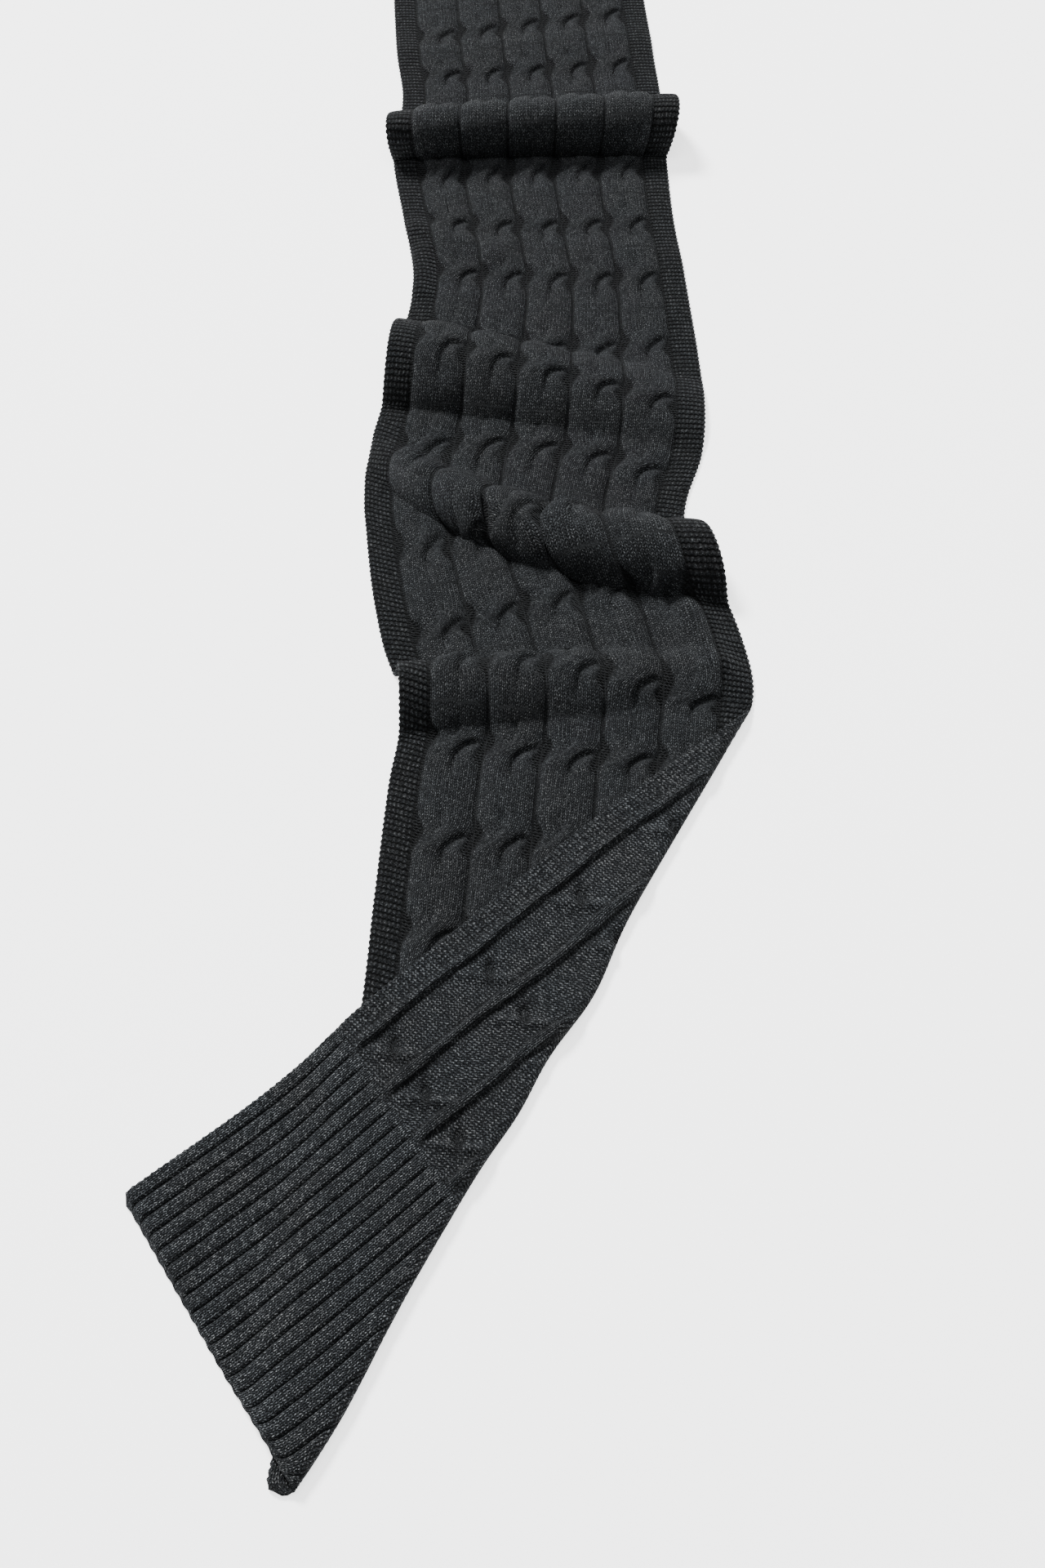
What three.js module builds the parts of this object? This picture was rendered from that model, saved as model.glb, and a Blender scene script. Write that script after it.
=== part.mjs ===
import * as THREE from 'three';

// A long cable-knit wool scarf laid out on a table. It runs away from the viewer along +Y,
// is pushed up into four waves, and its near end is turned over along a slanting fold, so that
// the wrong side of the cloth and the ribbed end show there. All sizes are in millimetres.
// x runs to the right across the cloth, y runs away along it, and z is up from the table.

// Cloth
const WALL = 3;                 // plain thickness of the knitted cloth
const SEAM = 0.3;               // parting between neighbouring stretches
const CABLES = 5;               // cables across the panel
const BORDER_SHARE = 0.087;     // each edge border, as a share of the width
const CABLE_RISE = 2.3;         // how far a cable stands over its gutters
const BORDER_RISE = 0.8;        // how far a border stands over the gutters
const RIDGE_RISE = 1.2;         // narrow ridges on the wrong side, behind the gutters
const RIDGE_HALF = 0.25;        // half width of such a ridge, as a share of a cable's width
const RIBS = 20;                // ribs across each end
const RIB_RISE = 1.3;
const RIB_FLANK = 1 / 3;        // width of a rib's flank, as a share of a rib

// The flat outline: the two long edges at chosen places along the length. Below y 60 it is the
// near end before it is turned over.
const EDGES = [
  { y: 1240, left: -131, right: 99 },
  { y: 1228, left: -138, right: 106 },
  { y: 1140, left: -140, right: 112 },
  { y: 1050, left: -137, right: 123 },
  { y: 980, left: -133, right: 128 },
  { y: 900, left: -127, right: 133 },
  { y: 830, left: -119, right: 137.5 },
  { y: 740, left: -124.5, right: 139 },
  { y: 650, left: -112, right: 141.5 },
  { y: 570, left: -99.5, right: 148 },
  { y: 520, left: -102, right: 151.5 },
  { y: 465, left: -113, right: 155 },
  { y: 400, left: -121, right: 157 },
  { y: 340, left: -131, right: 152 },
  { y: 285, left: -131.5, right: 136 },
  { y: 250, left: -128, right: 133 },
  { y: 215, left: -124, right: 143 },
  { y: 180, left: -119, right: 157 },
  { y: 130, left: -109, right: 174 },
  { y: 90, left: -97, right: 178 },
  { y: 50, left: -93.5, right: 172 },
  { y: 0, left: -99.5, right: 167 },
  { y: -100, left: -106, right: 155 },
  { y: -200, left: -112, right: 137 },
  { y: -313, left: -127, right: 117 },
  { y: -400, left: -139, right: 99 },
  { y: -500, left: -153, right: 88 },
  { y: -512, left: -147, right: 81 },
];

// The waves, far to near. back and front are where a wave leaves the table and comes down to it,
// lean shifts its crest away from the viewer, and spread moves its crest sideways. Each has three
// values: at the left edge, in the middle and at the right edge.
const WAVES = {
  farRoll: {
    back: [790, 800, 806],
    front: [736, 741, 742],
    height: [40, 43, 44],
    lean: [-22, -16, -10],
    spread: [-6, 2, 12],
  },
  leftSwell: {
    back: [495, 465, 425],
    front: [398, 372, 343],
    height: [36, 22, 5],
    lean: [0, 0, 0],
    spread: [0, 0, 0],
  },
  rightSwell: {
    back: [365, 284, 247],
    front: [320, 215, 176],
    height: [0, 27, 37],
    lean: [0, 0, 3],
    spread: [2, -14, 4],
  },
  nearPleat: {
    back: [97, 118, 118],
    front: [45, 60, 80],
    height: [26, 15, 0],
    lean: [12, 5, 0],
    spread: [0, 0, 0],
  },
};
const UPRIGHT = 1.5;            // how soon a wave's feet stand upright as it grows taller

// Rows where the cables cross, far to near: y at the left edge, in the middle and at the right
// edge. The cloth is stretched unevenly, so the rows slant and their pitch changes.
const CROSSINGS = [
  [1012, 1030, 1052],
  [918, 948, 978],
  [860, 872, 888],
  [790, 795, 800],
  [700, 712, 721],
  [640, 632, 641],
  [570, 560, 562],
  [510, 467, 482],
  [452, 418, 384],
  [335, 346, 300],
  [215, 247, 230],
  [122, 174, 192],
  [80, 92, 60],
  [42, 22, 17],
  [-50, -55, -42],
  [-130, -138, -140],
  [-220, -225, -226],
  [-308, -312, -310],
];
const CROSSING_SPAN = 0.17;     // length of a crossing, as a share of the pitch
const CROSSING_LEAN = 0.6;      // how far the dent of a crossing runs across the cable
const DENT_WIDTH = 0.4;         // half width of that dent, as a share of half a cable
const DENT_DEPTH = 0.55;        // its depth, as a share of the cable's height

// The slanting fold: a point on its outer edge, its direction to the left of -Y, and its bend
const FOLD_AT = new THREE.Vector2(170, 58);
const FOLD_ANGLE = THREE.MathUtils.degToRad(28.3);
const FOLD_GAP = 3;             // clear space between the two layers
const FOLD_STEPS = 8;
const FOLD_PARTING = -2;        // the turned stretch begins here, just before the cloth turns up
const STEP_DOWN = 34;           // run over which the turned end comes down to the table
const BULGE_INLAND = 45;        // how far in from the fold a bulge still shows

// Soft bulges of the fold: distance along it from FOLD_AT, how far out it goes, and its half length
const FOLD_BULGES = [
  { along: 268, out: 7, half: 45 },
  { along: 368, out: 3.5, half: 34 },
  { along: 600, out: 4.5, half: 60 },
];
const COVER_FADE = 14;          // the cables flatten over this distance under the turned end

const FOLD_OUT = new THREE.Vector2(Math.cos(FOLD_ANGLE), -Math.sin(FOLD_ANGLE));
const BEND_OUTER = WALL + FOLD_GAP / 2;
const BEND_MIDDLE = BEND_OUTER - WALL / 2;
const HALF_TURN = Math.PI * BEND_MIDDLE;
const LIFTED = 2 * BEND_OUTER - WALL;

// Lines across the cloth where one stretch ends and the next begins: y at the left edge, in the
// middle and at the right edge
const FAR_END = [1240, 1240, 1240];
const FAR_END_ROUNDING = [1228, 1228, 1228];
const FAR_RIB = [1058, 1058, 1058];
const PAST_ROLL = [690, 690, 690];
const PAST_LEFT_SWELL = [382, 328, 295];
const PAST_SWELLS = [168, 150, 135];
const TURN_START = [80, 80, 80];
const NEAR_RIB = [-335, -335, -335];
const NEAR_END_ROUNDING = [-500, -500, -500];
const NEAR_END = [-512, -512, -512];

const WOOL = { color: 0x3c4046, roughness: 0.95, metalness: 0 };

const NORMAL_STEP = 0.2;        // distance over which the cloth's slope is taken
const ON_TABLE = 0.02;          // what is this close to the table lies on it
const TOUCHING = 1e-6;

const clamp01 = (value) => Math.min(1, Math.max(0, value));
const smooth = (value) => {
  const k = clamp01(value);
  return k * k * (3 - 2 * k);
};

// A quadratic across the cloth through values at the left edge, the middle and the right edge.
function across([left, middle, right], t) {
  return left * (1 - t) * (1 - 2 * t) + middle * 4 * t * (1 - t) + right * t * (2 * t - 1);
}

// A smooth curve through one column of the edge table.
function edgeAt(y, side) {
  const last = EDGES.length - 2;
  let i = 0;
  while (i < last && y < EDGES[i + 1].y) i += 1;
  const slope = (k) => {
    const a = EDGES[Math.max(k - 1, 0)];
    const b = EDGES[Math.min(k + 1, EDGES.length - 1)];
    return (b[side] - a[side]) / (b.y - a.y);
  };
  const a = EDGES[i];
  const b = EDGES[i + 1];
  const span = b.y - a.y;
  const u = (y - a.y) / span;
  const u2 = u * u;
  const u3 = u2 * u;
  return a[side] * (2 * u3 - 3 * u2 + 1)
    + slope(i) * span * (u3 - 2 * u2 + u)
    + b[side] * (3 * u2 - 2 * u3)
    + slope(i + 1) * span * (u3 - u2);
}

// Share of the width, from the left edge at 0 to the right edge at 1.
function shareAt(x, y) {
  const left = edgeAt(y, 'left');
  return (x - left) / (edgeAt(y, 'right') - left);
}

// Distance past the line where the cloth begins to turn up for the slanting fold.
function pastFold(x, y) {
  return (x - FOLD_AT.x) * FOLD_OUT.x + (y - FOLD_AT.y) * FOLD_OUT.y + BEND_OUTER;
}

// The cloth's lower surface over a point of the flat outline, pushed up into its waves.
function overWaves(x, y) {
  const point = new THREE.Vector3(x, y, 0);
  const t = shareAt(x, y);
  for (const wave of Object.values(WAVES)) {
    const back = across(wave.back, t);
    const run = back - across(wave.front, t);
    const u = (back - y) / run;
    if (u > 0 && u < 1) {
      const height = across(wave.height, t);
      const rise = 4 * u * (1 - u);
      const upright = clamp01(UPRIGHT * height / run);
      point.y = back - run * (u + upright * (smooth(u) - u)) + across(wave.lean, t) * rise;
      point.x += across(wave.spread, t) * rise;
      point.z = height * rise;
    }
  }
  return point;
}

// How far the fold's soft bulges push a laid point outwards.
function bulgeAt(point) {
  const fromX = point.x - FOLD_AT.x;
  const fromY = point.y - FOLD_AT.y;
  const along = fromX * FOLD_OUT.y - fromY * FOLD_OUT.x;
  const inland = fromX * FOLD_OUT.x + fromY * FOLD_OUT.y;
  const share = Math.exp(-((inland / BULGE_INLAND) ** 2));
  return FOLD_BULGES.reduce((sum, bulge) => (
    sum + share * bulge.out * Math.exp(-(((along - bulge.along) / bulge.half) ** 2))), 0);
}

// The same surface past the fold: round the bend, back over the cloth, and down to the table.
function overFold(x, y, past) {
  const angle = Math.min(past / BEND_MIDDLE, Math.PI);
  const back = Math.max(past - HALF_TURN, 0);
  const reach = BEND_OUTER * Math.sin(angle) - back - past;
  const point = new THREE.Vector3(x + FOLD_OUT.x * reach, y + FOLD_OUT.y * reach, 0);
  const overhang = edgeAt(Math.max(point.y, NEAR_END_ROUNDING[0]), 'left') - point.x;
  const drop = LIFTED * smooth(overhang / STEP_DOWN) * (back > 0 ? 1 : 0);
  point.z = BEND_OUTER * (1 - Math.cos(angle)) - drop;
  return point;
}

function wrongSide(x, y) {
  const past = pastFold(x, y);
  const point = past > 0 ? overFold(x, y, past) : overWaves(x, y);
  const bulge = bulgeAt(point);
  point.x += FOLD_OUT.x * bulge;
  point.y += FOLD_OUT.y * bulge;
  return point;
}

// Unit normal from the wrong side of the cloth towards its right side.
function normalAt(x, y) {
  const here = wrongSide(x, y);
  const along = (dx, dy) => {
    const ahead = wrongSide(x + dx, y + dy).sub(here).normalize();
    const behind = here.clone().sub(wrongSide(x - dx, y - dy)).normalize();
    return ahead.add(behind);
  };
  return along(NORMAL_STEP, 0).cross(along(0, NORMAL_STEP)).normalize();
}

// Signed distance from the nearest row of crossings, as a share of the pitch there.
function crossingPhase(t, y) {
  const rows = CROSSINGS.map((row) => across(row, t));
  let best = rows[0];
  let pitch = rows[0] - rows[1];
  rows.forEach((row, i) => {
    if (Math.abs(row - y) < Math.abs(best - y)) {
      best = row;
      pitch = row - (rows[i + 1] ?? row - pitch);
    }
  });
  return (y - best) / pitch;
}

// Cable, gutter and border heights on the right side of the panel.
function cableRise(t, y) {
  const inner = (t - BORDER_SHARE) / (1 - 2 * BORDER_SHARE);
  if (inner < 0 || inner > 1) {
    const depth = Math.min(t, 1 - t) / BORDER_SHARE;
    return BORDER_RISE * Math.sqrt(Math.max(1 - (2 * depth - 1) ** 2, 0));
  }
  const place = inner * CABLES;
  const c = 2 * (place - Math.min(Math.floor(place), CABLES - 1)) - 1;
  const phase = crossingPhase(t, y) / CROSSING_SPAN;
  const crown = 1 - Math.abs(c) ** 3;
  const dent = Math.exp(-(phase ** 2) - ((c - CROSSING_LEAN * phase) / DENT_WIDTH) ** 2);
  return CABLE_RISE * crown * (1 - DENT_DEPTH * dent);
}

// Narrow ridges on the wrong side, one behind each gutter.
function ridgeRise(t) {
  const place = ((t - BORDER_SHARE) / (1 - 2 * BORDER_SHARE)) * CABLES;
  const gutter = Math.min(Math.max(Math.round(place), 0), CABLES);
  return RIDGE_RISE * smooth(1 - Math.abs(place - gutter) / RIDGE_HALF);
}

function ribRise(t) {
  const place = t * RIBS;
  const off = Math.abs(place - Math.round(place));
  return RIB_RISE * smooth(off / RIB_FLANK);
}

// How far a point of the lower layer lies in under the turned end, 0 where it is bare.
function coveredBy(x, y) {
  const past = pastFold(x, y) - HALF_TURN / 2;
  const turnedX = x - 2 * past * FOLD_OUT.x;
  const turnedY = y - 2 * past * FOLD_OUT.y;
  if (past > 0 || turnedY < NEAR_END[0] || turnedY > FOLD_AT.y) return 0;
  return Math.max(edgeAt(turnedY, 'right') - turnedX, 0);
}

const KNITS = {
  cable: {
    columns: columnShares([0, 0.5], [-0.5, 0, 0.5]),
    plainColumns: columnShares([0], [0]),
    right: cableRise,
    wrong: ridgeRise,
  },
  rib: {
    columns: Array.from({ length: 3 * RIBS + 1 }, (_, i) => i / (3 * RIBS)),
    plainColumns: Array.from({ length: RIBS + 1 }, (_, i) => i / RIBS),
    right: ribRise,
    wrong: ribRise,
  },
};

// Shares of the width for the grid's columns: stops in a border, then each gutter and the stops
// inside each cable.
function columnShares(borderStops, cableStops) {
  const panel = 1 - 2 * BORDER_SHARE;
  const left = borderStops.map((stop) => stop * BORDER_SHARE);
  const shares = [...left];
  for (let cable = 0; cable < CABLES; cable += 1) {
    shares.push(BORDER_SHARE + (panel * cable) / CABLES);
    cableStops.forEach((stop) => {
      shares.push(BORDER_SHARE + (panel * (cable + (stop + 1) / 2)) / CABLES);
    });
  }
  shares.push(1 - BORDER_SHARE);
  left.reverse().forEach((share) => shares.push(1 - share));
  return shares;
}

// Right and wrong surfaces of the finished wall. Relief is raised on the side that faces up.
function surfacePoint(knit, side, x, y) {
  const t = shareAt(x, y);
  const past = pastFold(x, y);
  const turned = smooth((2 * past) / HALF_TURN - 1);
  let out = 0;
  if (side === 'right') {
    const bare = 1 - smooth(coveredBy(x, y) / COVER_FADE);
    out = WALL + knit.right(t, y) * bare * (past > 0 ? 0 : 1);
  } else {
    out = -knit.wrong(t, y) * turned;
  }
  const point = wrongSide(x, y).addScaledVector(normalAt(x, y), out);
  if (Math.abs(point.z) < ON_TABLE) point.z = 0;
  return point;
}

// Rows of the grid: each leg goes from one line across the cloth to the next in equal steps.
function gridRows(legs) {
  const rows = [];
  legs.forEach(({ from, to, steps }, leg) => {
    for (let i = leg === 0 ? 0 : 1; i <= steps; i += 1) {
      rows.push(from.map((start, k) => start + ((to[k] - start) * i) / steps));
    }
  });
  rows[0] = rows[0].map((y) => y - SEAM / 2);
  rows[rows.length - 1] = rows[rows.length - 1].map((y) => y + SEAM / 2);
  return rows;
}

// Cells of the flat outline between two columns and two rows, cut along lines parallel to the
// fold. Each cell is a convex polygon, anticlockwise from above.
function flatCells(rows, shares, cuts, keep) {
  const grid = rows.map((row) => shares.map((t) => {
    const y = across(row, t);
    const left = edgeAt(y, 'left');
    const point = new THREE.Vector2(left + (edgeAt(y, 'right') - left) * t, y);
    const near = cuts.find((cut) => Math.abs(pastFold(point.x, point.y) - cut) < SEAM);
    if (near !== undefined) point.addScaledVector(FOLD_OUT, near - pastFold(point.x, point.y));
    return point;
  }));
  const cells = [];
  for (let r = 0; r < rows.length - 1; r += 1) {
    for (let c = 0; c < shares.length - 1; c += 1) {
      let pieces = [[grid[r + 1][c], grid[r + 1][c + 1], grid[r][c + 1], grid[r][c]]];
      cuts.forEach((cut) => {
        pieces = pieces.flatMap((piece) => [cutCell(piece, cut, 1), cutCell(piece, cut, -1)]);
      });
      cells.push(...pieces.filter((piece) => piece.length > 2 && keep(middleOf(piece))));
    }
  }
  return cells;
}

function middleOf(piece) {
  const sum = piece.reduce((total, point) => total.add(point), new THREE.Vector2());
  return sum.divideScalar(piece.length);
}

// The part of a cell on one side of a line parallel to the fold.
function cutCell(piece, cut, side) {
  const depth = piece.map((point) => side * (pastFold(point.x, point.y) - cut));
  const kept = [];
  piece.forEach((point, i) => {
    const j = (i + 1) % piece.length;
    const crosses = Math.min(depth[i], depth[j]) < -TOUCHING && Math.max(depth[i], depth[j]) > TOUCHING;
    if (depth[i] >= -TOUCHING) kept.push(point);
    if (crosses) {
      kept.push(point.clone().lerp(piece[j], depth[i] / (depth[i] - depth[j])));
    }
  });
  const area = kept.length > 2 ? THREE.ShapeUtils.area(kept) : 0;
  return area > TOUCHING ? kept : [];
}

// Merges the cells' corners and fans each cell into triangles.
function triangulate(cells) {
  const found = new Map();
  const points = [];
  const triangles = [];
  cells.forEach((cell) => {
    const corners = cell.map((point) => {
      const key = `${point.x.toFixed(3)},${point.y.toFixed(3)}`;
      if (!found.has(key)) {
        found.set(key, points.length);
        points.push(point);
      }
      return found.get(key);
    });
    for (let i = 2; i < corners.length; i += 1) triangles.push([corners[0], corners[i - 1], corners[i]]);
  });
  return { points, triangles };
}

// The outer loop of a triangulated sheet, as point numbers in order of their bearing from its
// middle.
function outerLoop({ points, triangles }, middle, isUpper, shift) {
  const edgeKey = (a, b) => a * points.length + b;
  const edges = triangles.flatMap(([a, b, c]) => [[a, b], [b, c], [c, a]]);
  const keys = new Set(edges.map(([a, b]) => edgeKey(a, b)));
  const open = edges.filter(([a, b]) => !keys.has(edgeKey(b, a))).map(([a]) => a);
  const loop = open.map((index) => ({
    index: index + shift,
    isUpper,
    bearing: points[index].clone().sub(middle).angle(),
  }));
  return loop.sort((a, b) => a.bearing - b.bearing);
}

// The rim between two loops: each next point closes one triangle.
function rimTriangles(upper, lower) {
  let top = upper.at(-1).index;
  let bottom = lower.at(-1).index;
  const walk = [...upper, ...lower].sort((a, b) => a.bearing - b.bearing || b.isUpper - a.isUpper);
  return walk.map(({ index, isUpper }) => {
    const triangle = [bottom, index, top];
    if (isUpper) top = index;
    else bottom = index;
    return triangle;
  });
}

// A closed wall: the right side, the wrong side, and a rim between their outer loops.
function clothWall(knit, rows, { cuts = [], keep = () => true, wrongIsFine = false }) {
  const fine = triangulate(flatCells(rows, knit.columns, cuts, keep));
  const plain = triangulate(flatCells(rows, knit.plainColumns, cuts, keep));
  const right = wrongIsFine ? plain : fine;
  const wrong = wrongIsFine ? fine : plain;
  const points = [
    ...right.points.map((point) => surfacePoint(knit, 'right', point.x, point.y)),
    ...wrong.points.map((point) => surfacePoint(knit, 'wrong', point.x, point.y)),
  ];
  const shift = right.points.length;
  const middle = middleOf(right.points);
  const triangles = [
    ...right.triangles,
    ...wrong.triangles.map(([a, b, c]) => [a + shift, c + shift, b + shift]),
    ...rimTriangles(outerLoop(right, middle, true, 0), outerLoop(wrong, middle, false, shift)),
  ];
  const geometry = new THREE.BufferGeometry();
  geometry.setAttribute('position', new THREE.Float32BufferAttribute(
    points.flatMap((point) => point.toArray()), 3));
  geometry.setIndex(triangles.flat());
  geometry.computeVertexNormals();
  return geometry;
}

const { farRoll, leftSwell, rightSwell, nearPleat } = WAVES;
const underEdge = FOLD_PARTING - SEAM / 2;
const turnedEdge = FOLD_PARTING + SEAM / 2;
const underFold = {
  cuts: [underEdge],
  keep: (point) => pastFold(point.x, point.y) < underEdge,
};
const roundFold = {
  cuts: [turnedEdge, ...Array.from({ length: FOLD_STEPS }, (_, i) => (HALF_TURN * (i + 1)) / FOLD_STEPS)],
  keep: (point) => pastFold(point.x, point.y) > turnedEdge,
  wrongIsFine: true,
};

// The stretches of the scarf, from the far end to the near one
const STRETCHES = [
  {
    name: 'far_rib_end',
    knit: KNITS.rib,
    legs: [
      { from: FAR_END, to: FAR_END_ROUNDING, steps: 2 },
      { from: FAR_END_ROUNDING, to: FAR_RIB, steps: 7 },
    ],
  },
  {
    name: 'far_stretch',
    knit: KNITS.cable,
    legs: [
      { from: FAR_RIB, to: farRoll.back, steps: 18 },
      { from: farRoll.back, to: farRoll.front, steps: 12 },
      { from: farRoll.front, to: PAST_ROLL, steps: 3 },
    ],
  },
  {
    name: 'middle_stretch',
    knit: KNITS.cable,
    legs: [
      { from: PAST_ROLL, to: leftSwell.back, steps: 15 },
      { from: leftSwell.back, to: leftSwell.front, steps: 10 },
      { from: leftSwell.front, to: PAST_LEFT_SWELL, steps: 3 },
    ],
  },
  {
    name: 'swell_stretch',
    knit: KNITS.cable,
    legs: [
      { from: PAST_LEFT_SWELL, to: rightSwell.back, steps: 3 },
      { from: rightSwell.back, to: rightSwell.front, steps: 10 },
      { from: rightSwell.front, to: PAST_SWELLS, steps: 5 },
    ],
  },
  {
    name: 'near_stretch',
    knit: KNITS.cable,
    legs: [
      { from: PAST_SWELLS, to: nearPleat.back, steps: 3 },
      { from: nearPleat.back, to: nearPleat.front, steps: 10 },
      { from: nearPleat.front, to: NEAR_RIB, steps: 32 },
    ],
    ...underFold,
  },
  {
    name: 'turned_stretch',
    knit: KNITS.cable,
    legs: [{ from: TURN_START, to: NEAR_RIB, steps: 33 }],
    ...roundFold,
  },
  {
    name: 'near_rib_under',
    knit: KNITS.rib,
    legs: [
      { from: NEAR_RIB, to: NEAR_END_ROUNDING, steps: 9 },
      { from: NEAR_END_ROUNDING, to: NEAR_END, steps: 2 },
    ],
    ...underFold,
  },
  {
    name: 'near_rib_turned',
    knit: KNITS.rib,
    legs: [
      { from: NEAR_RIB, to: NEAR_END_ROUNDING, steps: 9 },
      { from: NEAR_END_ROUNDING, to: NEAR_END, steps: 2 },
    ],
    ...roundFold,
  },
];

const laid = new THREE.Group();
STRETCHES.forEach((stretch) => {
  const wall = clothWall(stretch.knit, gridRows(stretch.legs), stretch);
  const mesh = new THREE.Mesh(wall, new THREE.MeshStandardMaterial(WOOL));
  mesh.name = stretch.name;
  laid.add(mesh);
});

// The origin is on the table, under the middle of the laid scarf.
const box = new THREE.Box3().setFromObject(laid);
const middle = box.getCenter(new THREE.Vector3());
laid.position.set(-middle.x, -middle.y, -box.min.z);

const scarf = new THREE.Group();
scarf.add(laid);
scarf.updateMatrixWorld(true);

export default scarf;
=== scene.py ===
import math

import bpy
import numpy as np
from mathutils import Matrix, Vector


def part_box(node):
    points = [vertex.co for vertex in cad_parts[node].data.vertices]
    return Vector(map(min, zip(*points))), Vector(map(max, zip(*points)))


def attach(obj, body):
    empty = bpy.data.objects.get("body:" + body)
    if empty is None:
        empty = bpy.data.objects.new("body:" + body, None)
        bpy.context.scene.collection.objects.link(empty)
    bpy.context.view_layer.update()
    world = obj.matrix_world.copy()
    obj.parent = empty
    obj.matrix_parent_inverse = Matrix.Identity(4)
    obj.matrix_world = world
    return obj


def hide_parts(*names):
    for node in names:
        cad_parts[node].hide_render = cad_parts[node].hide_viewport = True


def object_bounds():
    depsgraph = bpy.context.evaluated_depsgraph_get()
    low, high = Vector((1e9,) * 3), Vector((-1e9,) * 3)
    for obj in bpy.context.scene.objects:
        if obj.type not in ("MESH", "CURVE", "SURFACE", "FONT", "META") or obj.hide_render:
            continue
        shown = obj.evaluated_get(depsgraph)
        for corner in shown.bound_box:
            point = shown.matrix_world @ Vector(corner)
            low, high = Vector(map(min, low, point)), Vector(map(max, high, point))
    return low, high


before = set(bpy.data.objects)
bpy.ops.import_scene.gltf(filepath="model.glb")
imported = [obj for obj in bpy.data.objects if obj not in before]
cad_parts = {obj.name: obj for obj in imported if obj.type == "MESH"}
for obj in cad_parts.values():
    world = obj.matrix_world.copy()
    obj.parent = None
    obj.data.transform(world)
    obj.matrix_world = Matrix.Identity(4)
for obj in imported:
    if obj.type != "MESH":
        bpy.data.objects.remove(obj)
cad_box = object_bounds()

# The far ribbed end
# The scarf is knitted in one piece of marled charcoal wool, and this is where it was cast on: a
# flat 2 by 2 rib that draws in a little. It lies beyond the picture's top edge. All sizes are in
# metres, on a flat plan of the cloth in which x runs across it and y along it, away from the viewer.

WALL = 0.003
STITCHES = 80
RIBS = 20
RIB_RISE = 0.0022
STITCH_ROW = 0.0025
GRID_ROW = 0.0019
FILLET = 0.008
EDGE_ROUND = 0.0018
EDGE_THINNEST = 0.3
SELVEDGE_BUMP = 0.0006
END_SCALLOP = 0.0004
END_RISE = 0.0012
END_FADE = 0.005
NORMAL_STEP = 0.0002

# Flat outline: y, left edge, right edge
EDGES = np.array([
    (1.240, -0.128, 0.096), (1.2385, -0.1335, 0.1015), (1.235, -0.1370, 0.1050), (1.228, -0.138, 0.106), (1.140, -0.140, 0.112), (1.050, -0.137, 0.123),
    (0.980, -0.133, 0.128), (0.900, -0.127, 0.133), (0.830, -0.119, 0.1375), (0.740, -0.1245, 0.139),
    (0.650, -0.112, 0.1415), (0.570, -0.0995, 0.148), (0.520, -0.102, 0.1515), (0.465, -0.113, 0.155),
    (0.400, -0.121, 0.157), (0.340, -0.131, 0.152), (0.285, -0.1315, 0.136), (0.250, -0.128, 0.134),
    (0.215, -0.124, 0.147), (0.180, -0.119, 0.162), (0.130, -0.109, 0.174), (0.090, -0.097, 0.178),
    (0.050, -0.0935, 0.172), (0.000, -0.0995, 0.167), (-0.100, -0.106, 0.155), (-0.200, -0.112, 0.137),
    (-0.313, -0.127, 0.117), (-0.400, -0.139, 0.099), (-0.500, -0.153, 0.088), (-0.507, -0.1525, 0.0870),
    (-0.5105, -0.1490, 0.0835), (-0.512, -0.1440, 0.0780),
])
LEFT, RIGHT = 1, 2

# Lines across the cloth: y at its left edge, in its middle and at its right edge
FAR_END = (1.240, 1.240, 1.240)
FAR_RIB = (1.058, 1.058, 1.058)
NEAR_RIB = (-0.335, -0.335, -0.335)
NEAR_END = (-0.512, -0.512, -0.512)
JOIN_RISE = 0.0010
JOIN_FADE = 0.008

# The slanting fold of the near end
FOLD_AT = (0.170, 0.058)
FOLD_ANGLE = math.radians(28.3)
FOLD_OUT = (math.cos(FOLD_ANGLE), -math.sin(FOLD_ANGLE))
FOLD_GAP = 0.003
BEND_OUTER = WALL + FOLD_GAP / 2
BEND_MIDDLE = BEND_OUTER - WALL / 2
HALF_TURN = math.pi * BEND_MIDDLE
LIFTED = 2 * BEND_OUTER - WALL
STEP_DOWN = 0.034
COVER_FADE = 0.014
BULGE_INLAND = 0.045
FOLD_BULGES = ((0.268, 0.007, 0.045), (0.368, 0.0035, 0.034), (0.600, 0.0045, 0.060))
UPRIGHT = 1.5


def smooth(share):
    k = np.clip(share, 0, 1)
    return k * k * (3 - 2 * k)


def across(line, t):
    """A smooth line across the cloth through its values at the left edge, middle and right edge."""
    left, middle, right = line
    return left * (1 - t) * (1 - 2 * t) + middle * 4 * t * (1 - t) + right * t * (2 * t - 1)


def edge_at(y, side):
    """x of the cloth's left or right edge, on a smooth curve through the outline."""
    ys, xs = EDGES[:, 0], EDGES[:, side]
    before = np.r_[0, np.arange(len(ys) - 1)]
    after = np.r_[np.arange(1, len(ys)), len(ys) - 1]
    slopes = (xs[after] - xs[before]) / (ys[after] - ys[before])
    i = np.clip(np.searchsorted(-ys, -np.asarray(y, float), side="right") - 1, 0, len(ys) - 2)
    span = ys[i + 1] - ys[i]
    u = (y - ys[i]) / span
    bend = u * u * (3 - 2 * u)
    return (xs[i] * (1 - bend) + xs[i + 1] * bend
            + slopes[i] * span * (u**3 - 2 * u**2 + u) + slopes[i + 1] * span * (u**3 - u**2))


def past_fold(x, y):
    """How far a point of the plan lies past the line where the cloth turns up for its fold."""
    return (x - FOLD_AT[0]) * FOLD_OUT[0] + (y - FOLD_AT[1]) * FOLD_OUT[1] + BEND_OUTER


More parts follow.
